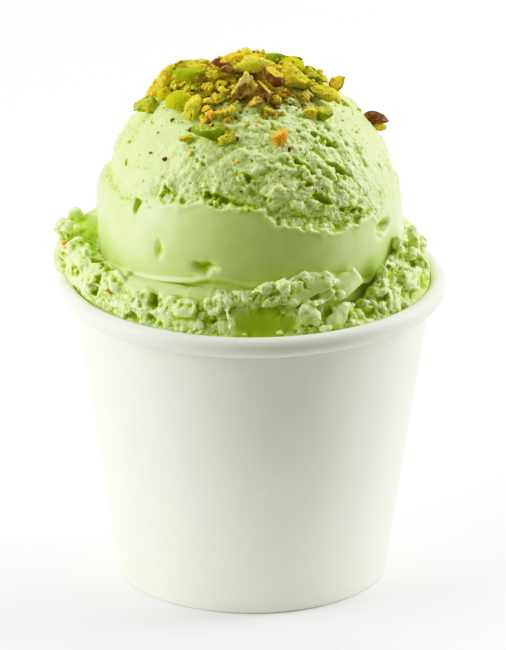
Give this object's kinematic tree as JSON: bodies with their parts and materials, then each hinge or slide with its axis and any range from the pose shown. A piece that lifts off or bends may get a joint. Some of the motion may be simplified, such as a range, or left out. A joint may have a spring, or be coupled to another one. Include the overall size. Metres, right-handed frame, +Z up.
{
  "type": "gelato cup",
  "caption": "Paper cup filled with pistachio gelato, a round scoop pressed on top with a smooth band and torn dome, under a heap of chopped nuts.",
  "frame": {"origin": "centre of the cup's foot, on the surface that it stands on", "axes": "+Z up along the cup's axis; -Y is the front, where the smooth band shows above the collar; +X is to the right"},
  "size_m": [0.0755, 0.075, 0.1054],
  "materials": {
    "cup_paper": "white coated paperboard, satin, with a faint upright fibre",
    "cup_floor_paper": "white paperboard, matt",
    "gelato": "pale pistachio green, smooth and moist on the pressed band, torn and crumbly above and below it",
    "pistachio": "chopped pistachio: yellow-green flesh with pieces of green and purple-brown skin"
  },
  "bodies": {
    "root": {"cup_wall": "cup_paper", "cup_floor": "cup_floor_paper", "gelato_bed": "gelato", "gelato_scoop": "gelato", "pistachio_heap": "pistachio"}
  },
  "joints": []
}
